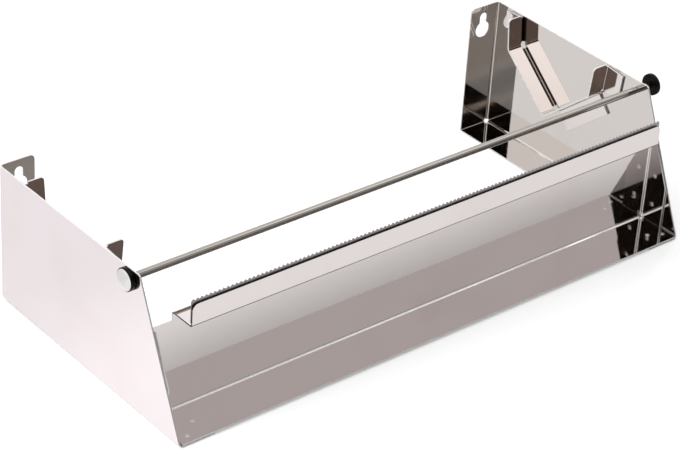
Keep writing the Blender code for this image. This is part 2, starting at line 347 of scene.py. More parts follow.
def startMaterial(name):
    material = bpy.data.materials.new(name)
    material.use_nodes = True
    tree = material.node_tree
    return material, tree, tree.nodes["Principled BSDF"]


def placeGroup(tree, group, look):
    # Each input of the group takes the look's value of the same name
    values = {item.name: look[item.name] for item in group.interface.items_tree if item.in_out == "INPUT"}
    return addNode(tree, "ShaderNodeGroup", values, node_tree=group).outputs


def makePolishedSteel(name, look):
    # Mirror-polished sheet: its tint, a slow wave in the reflection, smears and a few specks
    material, tree, shader = startMaterial(name)
    handled = placeGroup(tree, handledGroup, look)
    wave = placeGroup(tree, waveGroup, look)
    dull = mathNode(tree, "ADD", handled["Smear"], handled["Speck"], clamp=True)
    rougher = mathNode(tree, "MULTIPLY", handled["Smear"], look["smearRoughness"])
    rougher = mathNode(tree, "ADD", rougher, look["roughness"])
    scratched = mathNode(tree, "MULTIPLY", wave["Scratch"], look["scratchRoughness"])
    feedNode(tree, shader, {
        "Metallic": 1.0,
        "Base Color": blendColours(tree, dull, look["colour"], look["smearColour"]),
        "Roughness": mathNode(tree, "ADD", rougher, scratched),
        "Normal": bumpNode(tree, wave["Height"], look["waveHeight"], 1.0),
    })
    return material


sideLook = {
    "colour": (0.94, 0.86, 0.88),
    "smearColour": (0.86, 0.77, 0.78),
    "roughness": 0.05,
    "smearRoughness": 0.10,
    "scratchRoughness": 0.02,
    "cloudScale": 11.0,
    "streakScale": 70.0,
    "coverage": 0.28,
    "waveScale": 9.0,
    "waveHeight": 0.00016,
    "scratchScale": 900.0,
    "scratchShare": 0.004,
}
panelLook = dict(sideLook, colour=(0.86, 0.80, 0.785), smearColour=(0.80, 0.72, 0.70), roughness=0.04)
cradleLook = dict(sideLook, colour=(0.85, 0.79, 0.77), smearColour=(0.78, 0.72, 0.70), waveScale=30.0)
# The sides' inner faces are a darker copy of the outer: painted shade inside the bay
sideInnerShadeLook = dict(sideLook, colour=(0.75, 0.71, 0.68), smearColour=(0.70, 0.65, 0.62), roughness=0.04)
# The front sheet's back is painted near black-brown: painted shade, which darkens the bay in reflections
panelBackShadeLook = dict(sideLook, colour=(0.15, 0.115, 0.095), smearColour=(0.125, 0.095, 0.08), roughness=0.2)
# The blade's back is painted darker still: painted shade, seen as a dark reflection in the rod
bladeBackShadeLook = dict(panelBackShadeLook, colour=(0.03, 0.026, 0.023), smearColour=(0.04, 0.034, 0.03))
# Painted shade in the groove where the cradle's shoulder meets the side
seamShadeLook = dict(sideLook, colour=(0.035, 0.028, 0.025), smearColour=(0.05, 0.04, 0.035), roughness=0.12)
sideSteel = makePolishedSteel("polished side sheet", sideLook)
sideInnerShadeSteel = makePolishedSteel("polished side sheet, inner face painted darker as shade", sideInnerShadeLook)
panelSteel = makePolishedSteel("polished front sheet", panelLook)
panelBackShadeSteel = makePolishedSteel("back of the front sheet, painted dark as shade", panelBackShadeLook)
bladeBackShadeSteel = makePolishedSteel("back of the blade, painted dark as shade", bladeBackShadeLook)
cradleSteel = makePolishedSteel("polished cradle strip", cradleLook)
seamShadeSteel = makePolishedSteel("painted shade in the cradle's seam", seamShadeLook)


groundLook = {
    "lines": {"Detail": 3.0, "Roughness": 0.65},
    "relief": 0.5,  # how strongly the lines bend the reflection
}


def makeGroundSteel(name, look):
    # Ground or drawn steel with fine lines, stretched as the look says
    material, tree, shader = startMaterial(name)
    place = stretchNode(tree, objectPlace(tree), look["lineStretch"])
    lines = noiseNode(tree, place, look["lineScale"], groundLook["lines"])
    rough = mathNode(tree, "MULTIPLY", lines, look["lineRoughness"])
    feedNode(tree, shader, {
        "Metallic": look["metal"],
        "Base Color": blendColours(tree, lines, look["colour"], look["lineColour"]),
        "Roughness": mathNode(tree, "ADD", rough, look["roughness"]),
        "Normal": bumpNode(tree, lines, look["lineHeight"], groundLook["relief"]),
    })
    return material


bladeLook = {
    "metal": 1.0,
    "colour": (0.30, 0.28, 0.28),
    "lineColour": (0.46, 0.43, 0.43),
    "roughness": 0.28,
    "lineRoughness": 0.2,
    "lineScale": 900.0,
    "lineStretch": (1.0, 1.0, 0.06),
    "lineHeight": 0.00001,
}
rodLook = {
    "metal": 1.0,
    "colour": (0.50, 0.47, 0.43),
    "lineColour": (0.40, 0.37, 0.34),
    "roughness": 0.07,
    "lineRoughness": 0.07,
    "lineScale": 700.0,
    "lineStretch": (0.02, 1.0, 1.0),
    "lineHeight": 0.000006,
}
capLook = dict(rodLook, colour=(0.80, 0.79, 0.78), lineColour=(0.74, 0.73, 0.72), roughness=0.05,
               lineRoughness=0.05, lineStretch=(1.0, 1.0, 1.0), lineScale=160.0)
skirtLook = dict(rodLook, colour=(0.010, 0.010, 0.010), lineColour=(0.018, 0.017, 0.017), roughness=0.32,
                 lineStretch=(1.0, 1.0, 1.0), lineScale=400.0)
cutEdgeHighlightLook = {
    "metal": 0.5,  # with the near-white colour, a painted highlight that shows bright from everywhere
    "colour": (0.92, 0.91, 0.90),
    "lineColour": (0.80, 0.79, 0.78),
    "roughness": 0.16,
    "lineRoughness": 0.12,
    "lineScale": 1500.0,
    "lineStretch": (1.0, 1.0, 1.0),
    "lineHeight": 0.000006,
}
# Painted shade: near black, on the front sheet's edges above the ledge and on the bend under the lip
edgeShadeLook = dict(cutEdgeHighlightLook, metal=1.0, colour=(0.02, 0.018, 0.017), lineColour=(0.06, 0.055, 0.05),
                       roughness=0.22)
# Painted highlight: near-white metal on the front sheet's long folds and on the weld marks
paintedHighlightLook = dict(cutEdgeHighlightLook, metal=0.85, colour=(1.0, 0.99, 0.98), lineColour=(0.94, 0.93, 0.92),
                roughness=0.1, lineRoughness=0.08, lineStretch=(1.0, 1.0, 0.1), lineScale=500.0)
cutEdgeHighlightSteel = makeGroundSteel("cut sheet edge with painted highlight", cutEdgeHighlightLook)
edgeShadeSteel = makeGroundSteel("dark sheared edge of the front sheet", edgeShadeLook)
paintedHighlightSteel = makeGroundSteel("painted highlight on folds and weld marks", paintedHighlightLook)
bladeSteel = makeGroundSteel("ground blade strip", bladeLook)
rodSteel = makeGroundSteel("drawn rod", rodLook)
capChrome = makeGroundSteel("bright knob cap", capLook)
skirtBlack = makeGroundSteel("black knob skirt", skirtLook)
print("finishes made")


# Sides

sideSizes = {
    "flangeWidth": 0.030,
    "topCornerRadius": 0.003,
    "flangeCornerRadius": 0.004,
    "seamRelief": 0.0002,
    "keyholeInset": 0.0165,
    "keyholeHead": 0.014,
    "keyholeSlot": 0.007,
    "keyholeDrop": 0.021,
    "keyholeRise": 0.0113,
    "holeSteps": 64,
    "rodHole": 0.0064,
    "overrun": 0.004,  # of the hole cutters beyond the sheet
}
cornerRelief = outerRadius + sideSizes["seamRelief"]


def sideFaces(hand):
    steps = sheetStock["cornerSteps"]
    plateX = hand * halfWidth
    corners = [(-outerRadius, frameHeight), (-topDepth, frameHeight)]
    corners.append((frontEdgeY(outerRadius), outerRadius))
    plate = roundedPath(corners, [sideSizes["topCornerRadius"]], steps)
    plate += [Vector((-cornerRelief, outerRadius)), Vector((-cornerRelief, cornerRelief))]
    plate.append(Vector((-outerRadius, cornerRelief)))
    faces = [[(plateX, point.x, point.y) for point in plate]]
    foldX = halfWidth - outerRadius
    freeX = halfWidth - sideSizes["flangeWidth"]
    notchX = halfWidth - cornerRelief
    seamZ = thickness + seatGap
    corners = [(foldX, frameHeight), (freeX, frameHeight), (freeX, seamZ)]
    flange = roundedPath(corners, [sideSizes["flangeCornerRadius"]], steps)
    flange += [Vector((notchX, seamZ)), Vector((notchX, cornerRelief)), Vector((foldX, cornerRelief))]
    faces.append([(hand * point.x, 0, point.y) for point in flange])
    base = [(foldX, -frameDepth), (freeX, -frameDepth), (freeX, 0), (notchX, 0)]
    base += [(notchX, -cornerRelief), (foldX, -cornerRelief)]
    faces.append([(hand * x, y, 0) for x, y in base])
    steps = sheetStock["foldSteps"]
    path = roundedPath([(halfWidth, -frameDepth), (halfWidth, 0), (0, 0)], [outerRadius], steps)[1:-1]
    faces += sweptFaces(path, [cornerRelief, frameHeight], lambda point, z: (hand * point.x, point.y, z))
    path = roundedPath([(halfWidth, frameHeight), (halfWidth, 0), (0, 0)], [outerRadius], steps)[1:-1]
    for first, second in zip(path, path[1:]):
        ends = [(first, -cornerRelief), (second, -cornerRelief)]
        ends += [(second, frontEdgeY(second.y)), (first, frontEdgeY(first.y))]
        faces.append([(hand * point.x, y, point.y) for point, y in ends])
    return faces


def keyholeOutline():
    headRadius = sideSizes["keyholeHead"] / 2
    slotRadius = sideSizes["keyholeSlot"] / 2
    headZ = frameHeight - sideSizes["keyholeDrop"]
    slotZ = headZ + sideSizes["keyholeRise"]
    steps = sideSizes["holeSteps"]
    opening = math.asin(slotRadius / headRadius)
    outline = []
    for step in range(steps + 1):
        angle = math.pi / 2 + opening + (2 * math.pi - 2 * opening) * step / steps
        outline.append(Vector((math.cos(angle) * headRadius, math.sin(angle) * headRadius + headZ)))
    for step in range(steps // 2 + 1):
        angle = 2 * math.pi * step / steps
        outline.append(Vector((math.cos(angle) * slotRadius, math.sin(angle) * slotRadius + slotZ)))
    return outline


def sideCutters(hand):
    overrun = sideSizes["overrun"]
    keyX = hand * (halfWidth - sideSizes["keyholeInset"])
    keyhole = prismObject("keyholeCutter", keyholeOutline(), -thickness - overrun, overrun,
                          lambda point, y: (keyX + point.x, y, point.y))
    radius = sideSizes["rodHole"] / 2
    steps = sideSizes["holeSteps"]
    centre = Vector((rodMiddle.y - middle.y, rodMiddle.z))
    turns = [2 * math.pi * step / steps for step in range(steps)]
    ring = [Vector((math.cos(turn), math.sin(turn))) * radius + centre for turn in turns]
    hole = prismObject("rodHoleCutter", ring, hand * (halfWidth - thickness - overrun),
                       hand * (halfWidth + overrun), alongX)
    return [keyhole, hole]


def makeSide(name, hand, node):
    draft = sheetObject(name, sideFaces(hand), (hand, 0, 0), thickness)
    cutters = sideCutters(hand)
    cutWith(draft, cutters)
    # Inner faces with painted shade, cut edges with a painted highlight
    side = finishSheet(draft, name, sideSteel, sideInnerShadeSteel, cutEdgeHighlightSteel)
    for cutter in cutters:
        bpy.data.objects.remove(cutter)
    ridePiece(side, "frame", node)


makeSide("left_side_sheet", -1, "left_side")
makeSide("right_side_sheet", 1, "right_side")
print("sides folded")


# Front panel

panelSizes = {
    "floorStripDepth": 0.038,
    "ledgeHeight": 0.0837,
    "shoulderDrop": 0.0063,
    "ledgeDepth": 0.022,
    "ledgeEndGap": 0.0195,
    "ledgeFoldRadius": 0.0012,
    "lipHeight": 0.017,
    "lipCornerRadius": 0.005,
    "flapDepth": 0.021,
    "flapInset": 0.0002,
    "foldRelief": 0.001,
    "stripEndGap": 0.0001,
    "footGap": 0.00012,
    "footNotch": 0.0015,
    "levelShare": 0.95,  # a face whose normal rises at least this much is level
    "downShare": 0.2,  # the bend under the lip faces down and forward at least this much
    "forwardShare": 0.3,
    "ledgeEdge": 0.00156,  # below the ledge's top, where the painted shade on the edges ends
    "foldShare": 0.12,  # a face whose normal leans this far between two axes is on a fold
}
floorTop = thickness + seatGap + thickness
uprightY = panelSizes["floorStripDepth"] - frameDepth
lipY = uprightY - panelSizes["ledgeDepth"]
panelHalf = halfWidth - thickness - seatGap
ledgeHalf = halfWidth - panelSizes["ledgeEndGap"]
ledgeTop = panelSizes["ledgeHeight"]
lipTop = ledgeTop + panelSizes["lipHeight"]
shoulderZ = ledgeTop - thickness - panelSizes["shoulderDrop"]


def flapFaces(hand, foot):
    startX = panelHalf - thickness - foldRadius
    flapX = panelHalf - thickness
    front = uprightY - panelSizes["flapDepth"]
    corners = [(startX - foldRadius, uprightY), (flapX, uprightY), (flapX, front)]
    path = roundedPath(corners, [foldRadius], sheetStock["foldSteps"])[1:-1]
    faces = sweptFaces(path, [foot, shoulderZ], lambda point, z: (hand * point.x, point.y, z))
    foldEnd = uprightY - foldRadius
    inset = panelSizes["flapInset"]
    sole = floorTop + panelSizes["footGap"]
    notchY = foldEnd - panelSizes["footNotch"]
    outline = [(foldEnd, foot), (notchY, foot), (notchY, sole), (front, sole)]
    outline += [(front, frontEdgeZ(front - inset)), (frontEdgeY(shoulderZ) + inset, shoulderZ)]
    outline.append((foldEnd, shoulderZ))
    faces.append([(hand * flapX, y, z) for y, z in outline])
    return faces


def panelFaces():
    foldX = panelHalf - thickness - foldRadius
    inner = [-foldX, -ledgeHalf, ledgeHalf, foldX]
    floorHalf = panelHalf - thickness - panelSizes["stripEndGap"]
    whole = [-floorHalf] + inner + [floorHalf]
    reliefZ = floorTop + foldRadius + seatGap
    foot = reliefZ + panelSizes["foldRelief"]
    corners = [(-frameDepth, floorTop), (uprightY, floorTop), (uprightY, reliefZ)]
    faces = sweptFaces(roundedPath(corners, [foldRadius], sheetStock["foldSteps"]), whole, alongX)
    upright = [Vector((uprightY, z)) for z in (reliefZ, foot, shoulderZ)]
    faces += sweptFaces(upright, inner, alongX)
    radius = panelSizes["ledgeFoldRadius"]
    under = ledgeTop - thickness
    bendEnd = ledgeTop + radius
    corners = [(uprightY, shoulderZ), (uprightY, under), (lipY, under), (lipY, bendEnd)]
    ledge = roundedPath(corners, [radius, radius + thickness], sheetStock["foldSteps"])[:-1]
    faces += sweptFaces(ledge, [-ledgeHalf, ledgeHalf], alongX)
    corners = [(-ledgeHalf, bendEnd), (-ledgeHalf, lipTop), (ledgeHalf, lipTop), (ledgeHalf, bendEnd)]
    lip = roundedPath(corners, [panelSizes["lipCornerRadius"]] * 2, sheetStock["cornerSteps"])
    faces.append([(point.x, lipY, point.y) for point in lip])
    return faces + flapFaces(-1, foot) + flapFaces(1, foot)


def makeFrontPanel():
    name = "front_panel_sheet"
    draft = sheetObject(name, panelFaces(), (0, -1, 0), thickness)
    # Painted shade on the back and on the edges above the ledge, painted highlight on the folds and the
    # lower edges
    panel = finishSheet(draft, name, panelSteel, panelBackShadeSteel, edgeShadeSteel, paintedHighlightSteel, cutEdgeHighlightSteel)
    foldHighlightSlot = edgeSlot + 1
    edgeHighlightSlot = edgeSlot + 2
    for polygon in panel.data.polygons:
        height = polygon.center.z
        normal = polygon.normal
        level = polygon.material_index == backSlot and normal.z > panelSizes["levelShare"]
        if level and height > ledgeTop - thickness / 2:
            polygon.material_index = skinSlot  # the ledge's top is polished too
        under = normal.z < -panelSizes["downShare"] and normal.y < -panelSizes["forwardShare"]
        if under and shoulderZ < height < ledgeTop + panelSizes["ledgeFoldRadius"]:
            polygon.material_index = edgeSlot  # painted shade on the bend under the lip
        if polygon.material_index == edgeSlot and height < ledgeTop - panelSizes["ledgeEdge"]:
            polygon.material_index = edgeHighlightSlot  # below the ledge the cut edges take the painted highlight
        leaning = sorted(abs(share) for share in normal)[1] > panelSizes["foldShare"]
        if leaning and polygon.material_index == skinSlot and height < shoulderZ:
            polygon.material_index = foldHighlightSlot  # the three long folds carry a painted highlight
    ridePiece(panel, "frame", "front_panel")


makeFrontPanel()
print("front panel folded")


# Roll cradles

cradleSizes = {
    "width": 0.016,
    "strip": 0.0015,
    "setback": 0.0810,
    "footSpan": 0.0920,
    "splay": 0.0026,
    "veeDepth": 0.0391,
    "tabHeight": 0.0258,
    "tabRise": 0.0008,
    "foldRadius": 0.004,
    "cornerRadius": 0.003,
    "shoulder": 0.0025,  # bend from the strip into the flange welded on the side
    "shoulderSteps": 8,
    "flange": 0.0165,
    "flangeDrop": 0.0016,  # from the tab's top down to the flange's own top
    "relief": 0.001,  # the flange stops this far from the strip's own bends
    "seamShadeStart": 0.05,  # share of the shoulder's width from which the painted shade begins
    "seamShadeEnd": 0.7,  # and to which, below the tabs
}


def tabFace(foot, top, innerX, outerX):
    rise = (top - foot).length
    direction = (top - foot) / rise
    corners = [(innerX, 0), (innerX, rise), (outerX, rise)]
    outline = roundedPath(corners, [cradleSizes["cornerRadius"]], sheetStock["cornerSteps"])
    outline.append(Vector((outerX, rise - cradleSizes["flangeDrop"])))
    outline += [Vector((outerX, cradleSizes["relief"])), Vector((outerX, 0))]
    places = [(point.x, foot + direction * point.y) for point in outline]
    return [(x, place.x, place.y) for x, place in places]


def flangeFaces(start, end, hand, shoulderX):
    # Along one straight run: the round shoulder away from the strip, and the flange along the side
    along = (end - start).normalized()
    away = Vector((-along.y, along.x))
    radius = cradleSizes["shoulder"]
    steps = cradleSizes["shoulderSteps"]
    section = []
    for step in range(steps + 1):
        turn = math.pi / 2 * step / steps
        section.append(Vector((shoulderX + hand * radius * math.sin(turn), radius * (1 - math.cos(turn)))))
    section.append(section[-1] + Vector((0, cradleSizes["flange"])))

    def place(point, base):
        spot = base + away * point.y
        return (point.x, spot.x, spot.y)

    return sweptFaces(section, [start, end], place)


def makeCradle(name, hand, node):
    outerX = hand * (halfWidth - thickness - seatGap)
    innerX = outerX - hand * cradleSizes["width"]
    tabTop = frameHeight + cradleSizes["tabRise"]
    tabFoot = tabTop - cradleSizes["tabHeight"]
    centre = -cradleSizes["setback"]
    half = cradleSizes["footSpan"] / 2
    splay = cradleSizes["splay"]
    corners = [(centre + half + splay, tabTop), (centre + half, tabFoot)]
    corners.append((centre, tabFoot - cradleSizes["veeDepth"]))
    corners += [(centre - half, tabFoot), (centre - half - splay, tabTop)]
    steps = sheetStock["foldSteps"]
    relief = cradleSizes["relief"]
    drop = cradleSizes["flangeDrop"]
    shoulderX = outerX - hand * cradleSizes["shoulder"]
    path = roundedPath(corners, [cradleSizes["foldRadius"]] * 3, steps)
    # Each bend has steps + 1 points
    bends = [path[1:steps + 2], path[steps + 2:2 * steps + 3], path[2 * steps + 3:-1]]
    strip = list(bends[0])
    rise = (path[0] - path[1]).normalized()
    runs = [(path[0] - rise * drop, path[1] + rise * relief)]
    for before, after in zip(bends, bends[1:]):
        along = (after[0] - before[-1]).normalized() * relief
        runs.append((before[-1] + along, after[0] - along))
        strip += [*runs[-1], *after]
    rise = (path[-1] - path[-2]).normalized()
    runs.append((path[-2] + rise * relief, path[-1] - rise * drop))
    faces = sweptFaces(strip, [innerX, shoulderX], alongX)
    faces.append(tabFace(path[1], path[0], innerX, shoulderX))
    faces.append(tabFace(path[-2], path[-1], innerX, shoulderX))
    for start, end in runs:
        faces += flangeFaces(start, end, hand, shoulderX)
    draft = sheetObject(name, faces, (0, 0, 1), cradleSizes["strip"])
    cradle = finishSheet(draft, name, cradleSteel, cradleSteel, cutEdgeHighlightSteel, seamShadeSteel)
    seamShadeSlot = edgeSlot + 1
    for polygon in cradle.data.polygons:  # painted shade: the shoulder darkens into the seam on the roll's side
        share = hand * (polygon.center.x - middle.x - shoulderX) / cradleSizes["shoulder"]
        dark = share > cradleSizes["seamShadeStart"]
        dark = dark and (polygon.center.z > tabFoot or share < cradleSizes["seamShadeEnd"])
        if dark and polygon.material_index == skinSlot:
            polygon.material_index = seamShadeSlot
    ridePiece(cradle, "frame", node)


makeCradle("left_roll_cradle_strip", -1, "left_roll_cradle")
makeCradle("right_roll_cradle_strip", 1, "right_roll_cradle")
print("cradles bent")


# Geometry Nodes: the toothed strip and the weld marks

def joinNode(tree, parts):
    join = addNode(tree, "GeometryNodeJoinGeometry")
    for part in parts:
        tree.links.new(part, join.inputs[0])
    return join.outputs[0]


def finishTree(tree, geometry, given, out):
    whole = addNode(tree, "GeometryNodeRealizeInstances", {"Geometry": geometry}).outputs[0]
    painted = {"Geometry": whole, "Material": given["Material"]}
    tree.links.new(addNode(tree, "GeometryNodeSetMaterial", painted).outputs[0], out["Geometry"])
    return tree


def setInputs(modifier, tree, values):
    modifier.node_group = tree
    for item in tree.interface.items_tree:
        if item.item_type == "SOCKET" and item.in_out == "INPUT" and item.name in values:
            modifier[item.identifier] = values[item.name]


bladeSizes = {
    "thickness": 0.0008,
    "rise": 0.0035,  # tips above the lip
    "toothPitch": 0.0036,
    "toothDepth": 0.0017,
    "edgeRound": 0.00008,
    "edgeSteps": 2,
    "joinWithin": 0.00001,
    "backShare": 0.9,  # a face whose normal points to the wall at least this much is its back
}


def makeToothTree():
    # A grid whose top row zigzags, thickened into a strip
    tree, given, out = newTree("GeometryNodeTree", "toothed strip", {
        "Geometry": "Geometry",
        "Teeth": "Int",
        "Length": "Float",
        "Height": "Float",
        "Tooth Depth": "Float",
        "Thickness": "Float",
        "Middle": "Vector",
        "Material": "Material",
    }, {"Geometry": "Geometry"})
    grid = addNode(tree, "GeometryNodeMeshGrid", {
        "Vertices X": mathNode(tree, "MULTIPLY_ADD", given["Teeth"], 2, 1),  # a tip or a root each
        "Vertices Y": 2,
        "Size X": given["Length"],
        "Size Y": given["Height"],
    }).outputs["Mesh"]
    index = addNode(tree, "GeometryNodeInputIndex").outputs[0]
    row = mathNode(tree, "MODULO", index, 2)  # grid points run up each column in turn
    column = mathNode(tree, "FLOOR", mathNode(tree, "DIVIDE", index, 2))
    root = mathNode(tree, "SUBTRACT", 1, mathNode(tree, "MODULO", column, 2))
    drop = mathNode(tree, "MULTIPLY", mathNode(tree, "MULTIPLY", row, root), given["Tooth Depth"])
    down = addNode(tree, "ShaderNodeCombineXYZ", {"Y": mathNode(tree, "MULTIPLY", drop, -1)}).outputs[0]
    shaped = addNode(tree, "GeometryNodeSetPosition", {"Geometry": grid, "Offset": down}).outputs[0]
    stand = addNode(tree, "GeometryNodeTransform", {  # stands the strip up, its middle on the given point
        "Geometry": shaped,
        "Rotation": (math.pi / 2, 0, 0),
        "Translation": given["Middle"],
    }).outputs[0]
    thick = addNode(tree, "GeometryNodeExtrudeMesh", {
        "Mesh": stand,
        "Offset Scale": given["Thickness"],
        "Individual": False,
    }).outputs["Mesh"]
    flip = addNode(tree, "GeometryNodeFlipFaces", {"Mesh": stand}).outputs[0]
    closed = {"Geometry": joinNode(tree, [thick, flip]), "Distance": bladeSizes["joinWithin"]}
    merge = addNode(tree, "GeometryNodeMergeByDistance", closed).outputs[0]
    return finishTree(tree, merge, given, out)


def makeBlade():
    name = "serrated_blade_strip"
    foot = ledgeTop + panelSizes["ledgeFoldRadius"] + seatGap
    tip = lipTop + bladeSizes["rise"]
    back = lipY + thickness + seatGap + bladeSizes["thickness"]
    draft = linkObject("bladeDraft", bpy.data.meshes.new("bladeDraft"))
    setInputs(draft.modifiers.new("Toothed strip", "NODES"), makeToothTree(), {
        "Teeth": round(2 * ledgeHalf / bladeSizes["toothPitch"]),
        "Length": 2 * ledgeHalf,
        "Height": tip - foot,
        "Tooth Depth": bladeSizes["toothDepth"],
        "Thickness": bladeSizes["thickness"],
        "Middle": middle + Vector((0, back, (foot + tip) / 2)),
        "Material": bladeSteel,
    })
    breakEdges(draft, bladeSizes["edgeRound"], bladeSizes["edgeSteps"])
    blade = linkObject(name, settledMesh(draft, name))
    blade.data.materials.append(bladeBackShadeSteel)
    for polygon in blade.data.polygons:
        if polygon.normal.y > bladeSizes["backShare"]:
            polygon.material_index = backSlot  # painted dark shade on the blade's back
    ridePiece(blade, "frame", "serrated_blade")


makeBlade()
print("blade cut")


weldSizes = {
    "ring": 0.0034,  # across the raised ring round each spot
    "ringWire": 0.0005,
    "dome": 0.0024,
    "flatness": 0.24,  # ring and dome are pressed to this share of their height
    "ringSteps": 32,
    "wireSteps": 10,
    "domeSteps": 24,
    "domeRings": 12,
    "floorPlaces": [(-0.216, -0.2055), (-0.229, -0.2173), (0.2212, -0.2098), (0.2323, -0.2152)],
    "flapPlaces": [(-0.195, 0.0436), (-0.1958, 0.0185)],
}


def makeWeldTree():
    # A ring and a low dome on every point, laid on the sheet's surface
    tree, given, out = newTree("GeometryNodeTree", "spot weld marks", {
        "Geometry": "Geometry",
        "Ring Radius": "Float",
        "Wire Radius": "Float",
        "Dome Radius": "Float",
        "Flatness": "Float",
        "Turn": "Vector",
        "Material": "Material",
    }, {"Geometry": "Geometry"})

    def circle(radius, steps):
        values = {"Radius": radius, "Resolution": steps}
        return addNode(tree, "GeometryNodeCurvePrimitiveCircle", values).outputs["Curve"]

    ring = circle(given["Ring Radius"], weldSizes["ringSteps"])
    wire = circle(given["Wire Radius"], weldSizes["wireSteps"])
    bead = addNode(tree, "GeometryNodeCurveToMesh", {"Curve": ring, "Profile Curve": wire}).outputs["Mesh"]
    dome = addNode(tree, "GeometryNodeMeshUVSphere", {
        "Segments": weldSizes["domeSteps"],
        "Rings": weldSizes["domeRings"],
        "Radius": given["Dome Radius"],
    }).outputs["Mesh"]
    press = addNode(tree, "ShaderNodeCombineXYZ", {"X": 1, "Y": 1, "Z": given["Flatness"]}).outputs[0]
    mark = {"Geometry": joinNode(tree, [bead, dome]), "Scale": press}
    spread = addNode(tree, "GeometryNodeInstanceOnPoints", {
        "Points": given["Geometry"],
        "Instance": addNode(tree, "GeometryNodeTransform", mark).outputs[0],
        "Rotation": given["Turn"],
    }).outputs[0]
    return finishTree(tree, spread, given, out)


weldTree = makeWeldTree()


def makeWeldMarks(name, places, turn):
    mesh = bpy.data.meshes.new(name + "Draft")
    mesh.from_pydata([Vector(place) + middle for place in places], [], [])
    draft = linkObject(name + "Draft", mesh)
    setInputs(draft.modifiers.new("Weld marks", "NODES"), weldTree, {
        "Ring Radius": weldSizes["ring"] / 2,
        "Wire Radius": weldSizes["ringWire"] / 2,
        "Dome Radius": weldSizes["dome"] / 2,
        "Flatness": weldSizes["flatness"],
        "Turn": turn,
        # the weld marks take the painted highlight
        "Material": paintedHighlightSteel,
    })
    marks = settledMesh(draft, name)
    marks.shade_smooth()
    piece = linkObject(name, marks)
    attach(piece, "frame")


flapInner = panelHalf - thickness
makeWeldMarks("floor_weld_marks", [(x, y, floorTop) for x, y in weldSizes["floorPlaces"]], (0, 0, 0))
for side, hand in (("left", -1), ("right", 1)):
    makeWeldMarks(side + "_flap_weld_marks", [(hand * flapInner, y, z) for y, z in weldSizes["flapPlaces"]],
                  (0, math.pi / 2, 0))
print("weld marks set")


# Guide rod and knobs, turned about the rod's axis

rodSizes = {
    "diameter": 0.0056,
    "endPlay": 0.014,
    "spigot": 0.004,  # across and along
    "clearance": 0.0003,
    "chamfer": 0.0003,
    "steps": 96,
    "sharpAngle": 30.0,  # edges that turn more than this show as edges
}
knobSizes = {
    "diameter": 0.0175,
    "rim": 0.003,
    "dome": 0.0026,
    "edgeRadius": 0.0008,
    "edgeSteps": 8,
    "domeSteps": 20,
    "darkDomeBands": 2,  # the skirt's black runs on round the cap's edge
}


def turnedMesh(name, profile, materials, darkBands=0):
    # Turned about the rod's axis from (along, radius) points; the first bands take the second finish
    mesh = bpy.data.meshes.new(name)
    body = bmesh.new()
    steps = rodSizes["steps"]
    rings = []
    for along, radius in profile:
        ring = []
        for step in range(steps if radius else 1):
            turn = 2 * math.pi * step / steps
            spot = (along, rodMiddle.y + radius * math.cos(turn), rodMiddle.z + radius * math.sin(turn))
            ring.append(body.verts.new(spot))
        rings.append(ring)
    for band, (ring, following) in enumerate(zip(rings, rings[1:])):
        for step in range(steps):
            onward = (step + 1) % steps
            corners = [ring[step % len(ring)], ring[onward % len(ring)]]
            corners += [following[onward % len(following)], following[step % len(following)]]
            face = body.faces.new(list(dict.fromkeys(corners)))
            face.material_index = int(band < darkBands)
            face.smooth = True
    bmesh.ops.recalc_face_normals(body, faces=body.faces[:])
    body.to_mesh(mesh)
    body.free()
    for material in materials:
        mesh.materials.append(material)
    mesh.set_sharp_from_angle(angle=math.radians(rodSizes["sharpAngle"]))
    return mesh


def makeRod():
    radius = rodSizes["diameter"] / 2
    spigot = rodSizes["spigot"]
    chamfer = rodSizes["chamfer"]
    start = middle.x - halfWidth
    end = middle.x + halfWidth + rodSizes["endPlay"]
    left = [(start - spigot, 0), (start - spigot, spigot / 2), (start, spigot / 2)]
    left += [(start, radius - chamfer), (start + chamfer, radius)]
    right = [(end - chamfer, radius), (end, radius - chamfer), (end, spigot / 2)]
    right += [(end + spigot, spigot / 2), (end + spigot, 0)]
    mesh = turnedMesh("guide_rod_bar", left + right, [rodSteel])
    ridePiece(linkObject("guide_rod_bar", mesh), "rod", "guide_rod")


def makeKnob(name, hand, backX, body, node):
    # A low bright dome on a black back and rim
    radius = knobSizes["diameter"] / 2
    boreRadius = rodSizes["spigot"] / 2 + rodSizes["clearance"]
    rim = knobSizes["rim"]
    profile = [(rodSizes["spigot"], 0), (rodSizes["spigot"], boreRadius)]
    corners = [(0, boreRadius), (0, radius), (rim, radius)]
    edge = roundedPath(corners, [knobSizes["edgeRadius"]], knobSizes["edgeSteps"])
    profile += [(point.x, point.y) for point in edge]
    skirtBands = len(profile) - 1 + knobSizes["darkDomeBands"]
    dome = knobSizes["dome"]
    ball = (radius ** 2 + dome ** 2) / (2 * dome)
    widest = math.asin(radius / ball)
    for step in range(1, knobSizes["domeSteps"]):
        angle = widest * (1 - step / knobSizes["domeSteps"])
        profile.append((rim + dome - ball + ball * math.cos(angle), ball * math.sin(angle)))
    profile.append((rim + dome, 0))
    placed = [(backX + hand * along, across) for along, across in profile]
    mesh = turnedMesh(name, placed, [capChrome, skirtBlack], skirtBands)
    ridePiece(linkObject(name, mesh), body, node)


makeRod()
makeKnob("left_rod_knob_turned", -1, middle.x - halfWidth - seatGap, "rod", "left_rod_knob")
makeKnob("right_rod_knob_turned", 1, middle.x + halfWidth + seatGap + rodSizes["endPlay"], "rod_slider",
         "right_rod_knob")
print("rod and knobs turned")


# Studio

